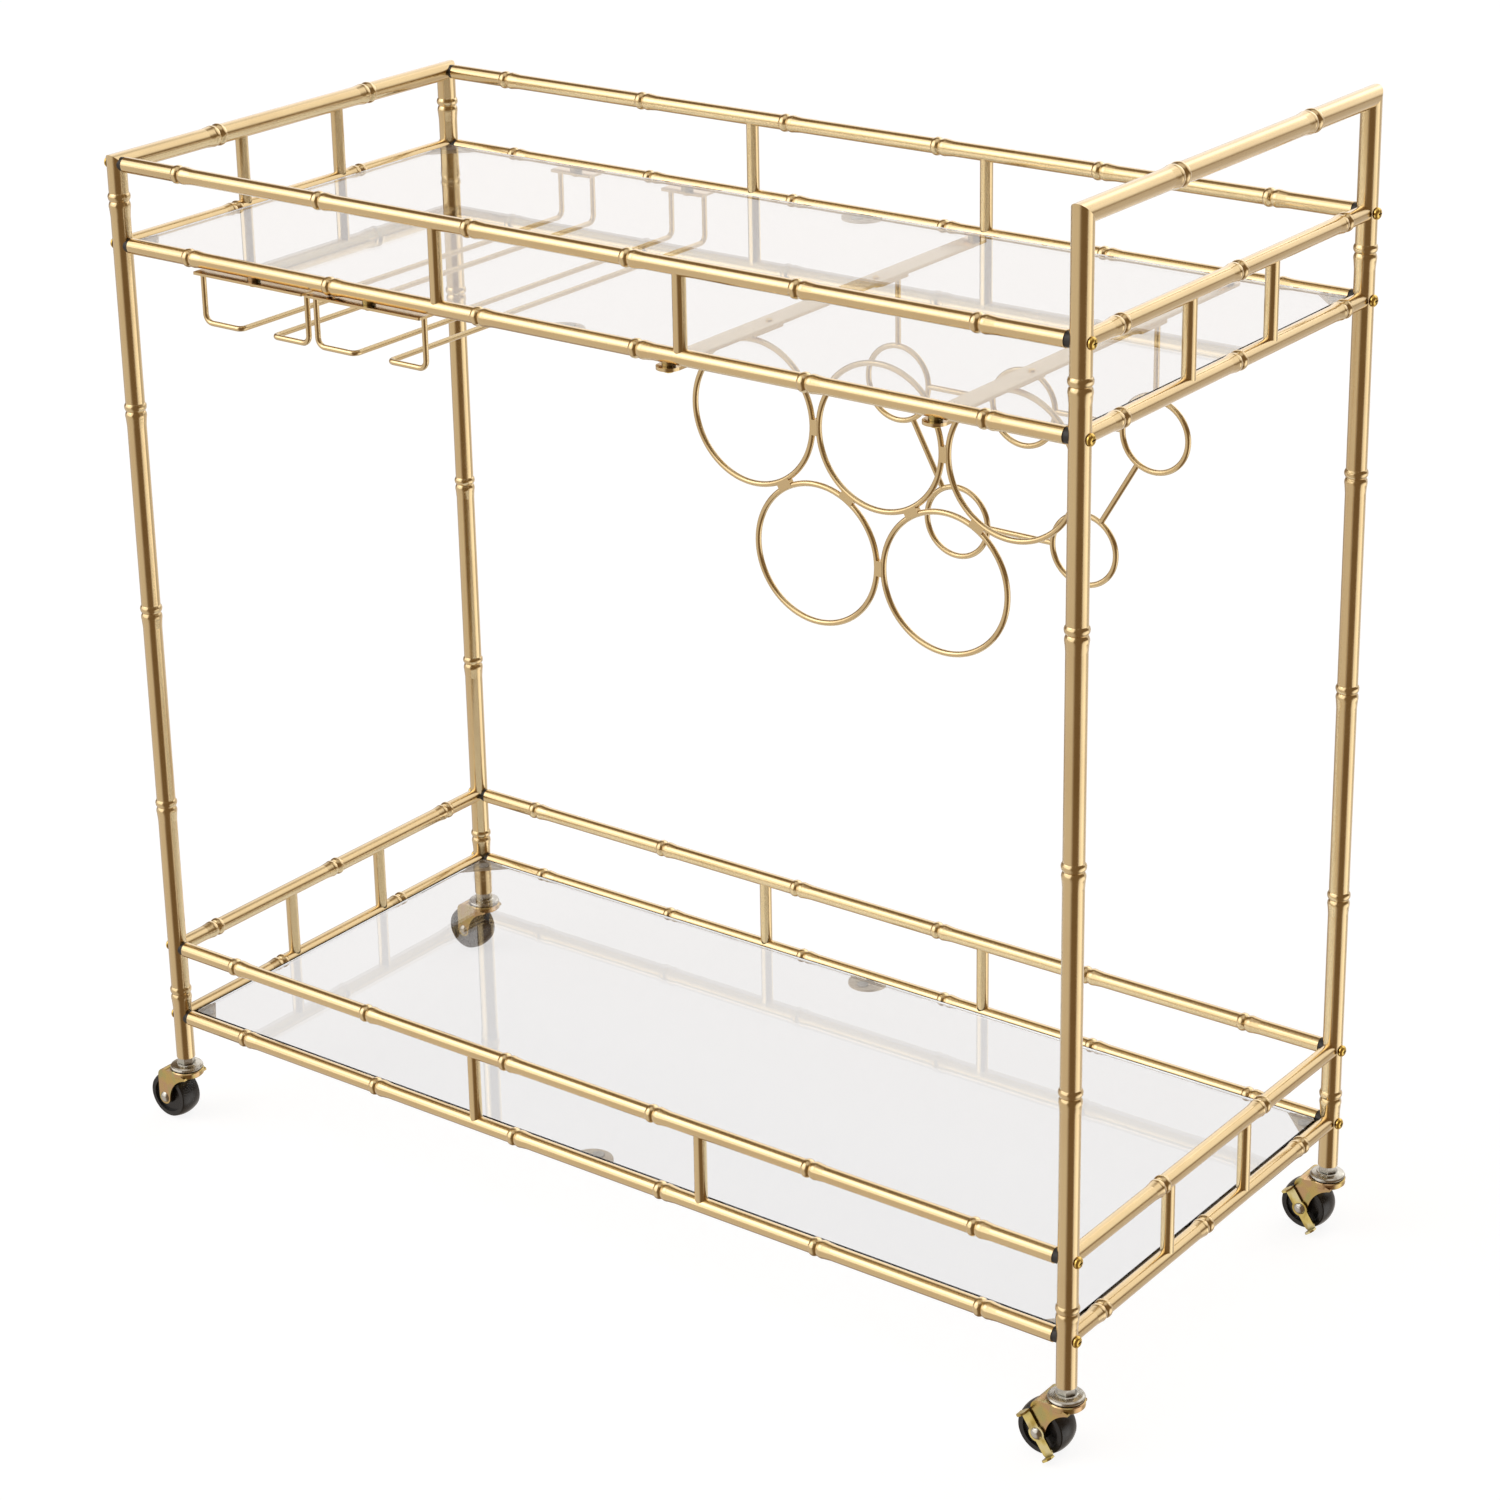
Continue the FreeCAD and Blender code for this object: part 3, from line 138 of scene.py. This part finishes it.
class Shader:
    """A material's node tree with short calls for the nodes used here."""

    def __init__(self, name):
        self.material = bpy.data.materials.new(name)
        self.material.use_nodes = True
        self.tree = self.material.node_tree
        self.tree.nodes.clear()
        self.out = self.tree.nodes.new("ShaderNodeOutputMaterial")
        self.coords = self.tree.nodes.new("ShaderNodeTexCoord").outputs["Object"]

    def node(self, kind, **inputs):
        made = self.tree.nodes.new("ShaderNode" + kind)
        for name, value in inputs.items():
            self.put(made, name.replace("_", " "), value)
        return made

    def put(self, node, name, value):
        socket = node.inputs[name]
        if isinstance(value, bpy.types.NodeSocket):
            self.tree.links.new(value, socket)
        elif socket.type == "RGBA" and len(value) == 3:
            socket.default_value = (*value, 1.0)
        else:
            socket.default_value = value

    def noise(self, scale, detail=3.0, stretch=None):
        coords = self.coords
        if stretch:
            mapping = self.node("Mapping", Vector=coords)
            mapping.inputs["Scale"].default_value = stretch
            coords = mapping.outputs["Vector"]
        made = self.node("TexNoise", Vector=coords, Scale=scale, Detail=detail)
        return made.outputs["Fac"]

    def span(self, value, low, high, to_low, to_high):
        made = self.node("MapRange", Value=value)
        made.interpolation_type = "SMOOTHSTEP"
        for name, number in (("From Min", low), ("From Max", high), ("To Min", to_low), ("To Max", to_high)):
            made.inputs[name].default_value = number
        return made.outputs["Result"]

    def blend(self, factor, first, second):
        made = self.tree.nodes.new("ShaderNodeMix")
        made.data_type = "RGBA"
        for place, value in ((MIX_FACTOR, factor), (MIX_FIRST, first), (MIX_SECOND, second)):
            self.put(made, place, value)
        return made.outputs[MIX_RESULT]

    def bump(self, height, strength, distance):
        made = self.node("Bump", Height=height)
        made.inputs["Strength"].default_value = strength
        made.inputs["Distance"].default_value = distance
        return made.outputs["Normal"]

    def principled(self, **inputs):
        made = self.tree.nodes.new("ShaderNodeBsdfPrincipled")
        for name, value in inputs.items():
            self.put(made, name.replace("_", " "), value)
        self.tree.links.new(made.outputs["BSDF"], self.out.inputs["Surface"])
        return made


def plated(name, rough_low, rough_high):
    """Satin gold lacquer on metal: a fine sprayed grain, slow colour drift and painted shade, a deeper gold,
    in corners.
    """
    s = Shader(name)
    body = s.blend(s.span(s.noise(14.0), 0.35, 0.7, 0.0, 0.3), GOLD, GOLD_DEEP)
    # Painted shade: an ambient occlusion mask darkens corners and crevices towards the deep gold
    painted_corner_shade = s.node("AmbientOcclusion", Distance=0.004).outputs["AO"]
    body = s.blend(s.span(painted_corner_shade, 0.3, 0.85, 0.9, 0.0), body, GOLD_DEEP)
    rough = s.span(s.noise(60.0, 5.0), 0.3, 0.7, rough_low, rough_high)
    grain = s.bump(s.noise(900.0, 2.0), 0.05, 0.0003)
    s.principled(Base_Color=body, Metallic=1.0, Roughness=rough, Normal=grain,
                 Coat_Weight=1.0, Coat_Roughness=0.14, Coat_IOR=1.95)
    return s.material


def brass_screw():
    s = Shader("bright_brass")
    # Painted shade: an ambient occlusion mask darkens the screw's recess and corners to a deep brown-yellow
    painted_corner_shade = s.node("AmbientOcclusion", Distance=0.0018).outputs["AO"]
    shade = s.span(painted_corner_shade, 0.25, 0.85, 1.0, 0.0)
    body = s.blend(shade, BRASS, BRASS_RECESS_SHADE)
    rough = s.span(s.noise(300.0), 0.3, 0.7, 0.16, 0.28)
    s.principled(Base_Color=body, Metallic=1.0, Roughness=rough)
    return s.material


def bright_zinc(name, colour, rough):
    s = Shader(name)
    body = s.blend(s.span(s.noise(120.0, 4.0), 0.35, 0.7, 0.0, 0.6), colour, ZINC_DULL)
    # Painted shade: an ambient occlusion mask darkens corners and crevices towards charcoal
    painted_corner_shade = s.node("AmbientOcclusion", Distance=0.004).outputs["AO"]
    body = s.blend(s.span(painted_corner_shade, 0.3, 0.9, 0.8, 0.0), body, CHARCOAL)
    roughness = s.span(s.noise(400.0), 0.3, 0.7, rough, rough + 0.12)
    grain = s.bump(s.noise(700.0, 2.0), 0.12, 0.0004)
    s.principled(Base_Color=body, Metallic=1.0, Roughness=roughness, Normal=grain)
    return s.material


def yellow_zinc(name, main, second, third, grain=0.12):
    """Yellow passivated zinc, whose film drifts between three colours, with painted shade towards charcoal
    in its corners.
    """
    s = Shader(name)
    body = s.blend(s.span(s.noise(70.0, 2.0), 0.42, 0.62, 0.0, 0.75), main, second)
    drift = s.span(s.noise(110.0, 2.0, (1.0, 1.7, 0.6)), 0.5, 0.7, 0.0, 0.7)
    body = s.blend(drift, body, third)
    # Painted shade: an ambient occlusion mask darkens corners and crevices towards charcoal
    painted_corner_shade = s.node("AmbientOcclusion", Distance=0.006).outputs["AO"]
    body = s.blend(s.span(painted_corner_shade, 0.3, 0.95, 0.9, 0.0), body, CHARCOAL)
    rough = s.span(s.noise(250.0), 0.3, 0.7, 0.16, 0.28)
    s.principled(Base_Color=body, Metallic=1.0, Roughness=rough,
                 Normal=s.bump(s.noise(500.0, 2.0), grain, 0.0005))
    return s.material


def wheel_black():
    """Moulded black plastic, glossy in uneven patches, with a fine grain."""
    s = Shader("moulded_black")
    body = s.blend(s.span(s.noise(90.0, 4.0), 0.4, 0.7, 0.0, 0.5), BLACK, CHARCOAL)
    rough = s.span(s.noise(220.0, 4.0), 0.3, 0.7, 0.2, 0.36)
    grain = s.bump(s.noise(900.0, 2.0), 0.08, 0.0005)
    s.principled(Base_Color=body, Roughness=rough, Normal=grain, IOR=1.5)
    return s.material


def black_plug():
    s = Shader("black_plug")
    rough = s.span(s.noise(300.0), 0.3, 0.7, 0.35, 0.55)
    s.principled(Base_Color=CHARCOAL, Roughness=rough)
    return s.material


def clear_glass():
    """Clear glass; its upright edges are deeper in colour, and light passes through it to the floor."""
    s = Shader("clear_glass")
    normal = s.node("NewGeometry").outputs["True Normal"]
    parts = s.node("SeparateXYZ", Vector=normal)
    height = s.node("Math", Value=parts.outputs["Z"])
    height.operation = "ABSOLUTE"
    colour = s.blend(s.span(height.outputs["Value"], 0.3, 0.8, 1.0, 0.0), GLASS_TINT, GLASS_EDGE)
    glass = s.principled(Base_Color=colour, Roughness=0.0, IOR=GLASS_IOR, Transmission_Weight=1.0)
    passing = s.node("BsdfTransparent", Color=GLASS_SHADOW)
    path = s.node("LightPath")
    mix = s.tree.nodes.new("ShaderNodeMixShader")
    s.tree.links.new(path.outputs["Is Shadow Ray"], mix.inputs[0])
    s.tree.links.new(glass.outputs["BSDF"], mix.inputs[1])
    s.tree.links.new(passing.outputs["BSDF"], mix.inputs[2])
    s.tree.links.new(mix.outputs["Shader"], s.out.inputs["Surface"])
    return s.material


def pale_plate():
    """The glass supports: a paler, flatter finish than the tubes."""
    s = Shader("pale_gold_plate")
    body = s.blend(s.span(s.noise(40.0), 0.3, 0.7, 0.0, 1.0), PLATE_PALE, PLATE_DEEP)
    s.principled(Base_Color=body, Metallic=0.55, Roughness=0.42,
                 Normal=s.bump(s.noise(600.0, 2.0), 0.08, 0.0003))
    return s.material


def soft_pad():
    """Milky soft plastic."""
    s = Shader("milky_pad")
    body = s.blend(s.span(s.noise(250.0), 0.3, 0.7, 0.0, 1.0), PAD_PALE, PAD_DEEP)
    s.principled(Base_Color=body, Roughness=0.35, IOR=1.45, Transmission_Weight=0.25)
    return s.material


def dress(frame):
    """Gives every CAD node its material by the record's slot, and returns the materials by slot."""
    made = {
        "frame_gold": plated("champagne_gold", 0.19, 0.26),
        "rack_gold": plated("champagne_gold_wire", 0.17, 0.24),
        "brass_screw": brass_screw(),
        "steel_insert": yellow_zinc("insert_zinc", YELLOW_ZINC, YELLOW_ZINC_PINK, YELLOW_ZINC_GREEN),
        "yellow_zinc": yellow_zinc("fork_zinc", YELLOW_ZINC, YELLOW_ZINC_PINK, YELLOW_ZINC_GREEN),
        "lever_zinc": yellow_zinc("lever_zinc", LEVER_ZINC, LEVER_PALE, LEVER_DARK),
        "cap_steel": bright_zinc("cap_zinc", ZINC, 0.18),
        "stem_zinc": bright_zinc("stem_zinc", ZINC, 0.22),
        "rivet_zinc": bright_zinc("rivet_zinc", ZINC, 0.18),
        "ball_steel": bright_zinc("ball_steel", ZINC, 0.08),
        "wheel_black": wheel_black(),
        "black_insert": black_plug(),
        "clear_glass": clear_glass(),
        "clear_pad": soft_pad(),
    }
    slots = {part["node"]: part["material_slot"] for part in frame["record"]["subparts"]}
    plate = pale_plate()
    for name, obj in frame["nodes"].items():
        material = plate if name == "glass_supports" else made[slots[name]]
        if not obj.material_slots:
            obj.data.materials.append(material)
        for slot in obj.material_slots:
            slot.link = "OBJECT"
            slot.material = material
    return made


def world_light():
    """A studio drawn by direction: soft glows in a dim warm room, and plain white to the camera."""
    world = bpy.data.worlds.new("studio")
    bpy.context.scene.world = world
    world.use_nodes = True
    tree = world.node_tree
    tree.nodes.clear()
    place = tree.nodes.new("ShaderNodeTexCoord").outputs["Generated"]

    def lobe(towards, start, end, strength):
        dot = tree.nodes.new("ShaderNodeVectorMath")
        dot.operation = "DOT_PRODUCT"
        tree.links.new(place, dot.inputs[0])
        dot.inputs[1].default_value = Vector(towards).normalized()
        span = tree.nodes.new("ShaderNodeMapRange")
        span.interpolation_type = "SMOOTHSTEP"
        tree.links.new(dot.outputs["Value"], span.inputs["Value"])
        span.inputs["From Min"].default_value = start
        span.inputs["From Max"].default_value = end
        span.inputs["To Min"].default_value = 0.0
        span.inputs["To Max"].default_value = strength
        return span.outputs["Result"]

    def joined(kind, first, second):
        made = tree.nodes.new("ShaderNodeMath")
        made.operation = kind
        for socket, value in zip(made.inputs, (first, second)):
            if isinstance(value, bpy.types.NodeSocket):
                tree.links.new(value, socket)
            else:
                socket.default_value = value
        return made.outputs["Value"]

    total = 0.0
    for side, lobes in ((1, LIGHT_LOBES), (-1, FLOOR_LOBES)):
        half = lobe((0, 0, side), *HORIZON, 1.0)
        for towards, start, end, strength in lobes:
            part = joined("MULTIPLY", half, lobe(towards, start, end, strength))
            total = joined("ADD", part, total)
    path = tree.nodes.new("ShaderNodeLightPath").outputs["Is Camera Ray"]
    room = tree.nodes.new("ShaderNodeMix")
    room.data_type = "RGBA"
    room.blend_type = "ADD"
    room.inputs[MIX_FACTOR].default_value = 1.0
    tree.links.new(total, room.inputs[MIX_FIRST])
    room.inputs[MIX_SECOND].default_value = (*ROOM_COLOUR, 1.0)
    shown = tree.nodes.new("ShaderNodeMix")
    shown.data_type = "RGBA"
    tree.links.new(path, shown.inputs[MIX_FACTOR])
    tree.links.new(room.outputs[MIX_RESULT], shown.inputs[MIX_FIRST])
    shown.inputs[MIX_SECOND].default_value = (*WHITE, 1.0)
    back = tree.nodes.new("ShaderNodeBackground")
    tree.links.new(shown.outputs[MIX_RESULT], back.inputs["Color"])
    out = tree.nodes.new("ShaderNodeOutputWorld")
    tree.links.new(back.outputs["Background"], out.inputs["Surface"])


def add_pad(mesh, x, y, bottom):
    """One round pad with a rounded rim and a shallow dimple."""
    rings = []
    for radius, height in PAD_OUTLINE:
        z = bottom + PAD_GAP + height * (PAD_HEIGHT - 2 * PAD_GAP)
        turns = [2 * math.pi * i / PAD_SEGMENTS for i in range(PAD_SEGMENTS)] if radius else [0.0]
        r = radius * PAD_RADIUS
        rings.append([mesh.verts.new((x + r * math.cos(t), y + r * math.sin(t), z)) for t in turns])
    for lower, upper in zip(rings, rings[1:]):
        for i in range(PAD_SEGMENTS):
            corners = []
            for ring, place in ((lower, i), (lower, i + 1), (upper, i + 1), (upper, i)):
                vert = ring[place % len(ring)]
                if vert not in corners:
                    corners.append(vert)
            mesh.faces.new(corners)


def pads(material):
    """Finished pads in place of the plain ones, between the supports and the glass."""
    low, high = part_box("glass_pads")
    xs = (low[0] + PAD_RADIUS, (low[0] + high[0]) / 2, high[0] - PAD_RADIUS)
    mesh = bmesh.new()
    for bottom in (low[2], high[2] - PAD_HEIGHT):
        for y in (low[1] + PAD_RADIUS, high[1] - PAD_RADIUS):
            for x in xs:
                add_pad(mesh, x, y, bottom)
    data = bpy.data.meshes.new("soft_pads")
    mesh.to_mesh(data)
    mesh.free()
    data.polygons.foreach_set("use_smooth", [True] * len(data.polygons))
    data.materials.append(material)
    obj = bpy.data.objects.new("soft_pads", data)
    bpy.context.collection.objects.link(obj)
    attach(obj, "cart_frame")
    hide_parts("glass_pads")


def floor():
    """A plain white floor, which neither shows in the metal nor lights the cart: the world does both."""
    bpy.ops.mesh.primitive_plane_add(size=FLOOR_SIZE, location=(0, 0, 0))
    plane = bpy.context.object
    plane.name = "floor"
    s = Shader("pale_floor")
    diffuse = s.node("BsdfDiffuse", Color=FLOOR_GREY)
    glow = s.node("Emission", Color=WHITE, Strength=FLOOR_GLOW)
    both = s.tree.nodes.new("ShaderNodeAddShader")
    s.tree.links.new(diffuse.outputs["BSDF"], both.inputs[0])
    s.tree.links.new(glow.outputs["Emission"], both.inputs[1])
    s.tree.links.new(both.outputs["Shader"], s.out.inputs["Surface"])
    plane.data.materials.append(s.material)
    plane.visible_glossy = False
    plane.visible_diffuse = False


def key_light():
    """One large square soft light."""
    light = bpy.data.lights.new("key", "AREA")
    light.shape = "RECTANGLE"
    light.size = KEY_SIZE
    light.size_y = KEY_SIZE
    light.energy = KEY_POWER
    obj = bpy.data.objects.new("key", light)
    bpy.context.collection.objects.link(obj)
    obj.location = KEY_PLACE
    obj.rotation_mode = "QUATERNION"
    obj.rotation_quaternion = (Vector(KEY_TARGET) - Vector(KEY_PLACE)).to_track_quat("-Z", "Y")


def camera():
    data = bpy.data.cameras.new("camera")
    data.lens, data.sensor_width = CAMERA_LENS, CAMERA_SENSOR
    data.shift_x, data.shift_y = CAMERA_SHIFT
    data.clip_start, data.clip_end = CAMERA_CLIP
    obj = bpy.data.objects.new("camera", data)
    bpy.context.collection.objects.link(obj)
    obj.location = CAMERA_PLACE
    obj.rotation_mode = "QUATERNION"
    obj.rotation_quaternion = Quaternion(CAMERA_TURN)
    bpy.context.scene.camera = obj


def main():
    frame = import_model()
    materials = dress(frame)
    pads(materials["clear_pad"])
    world_light()
    floor()
    key_light()
    camera()
    view = bpy.context.scene.view_settings
    view.view_transform = "Standard"
    view.look = "None"
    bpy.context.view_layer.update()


main()
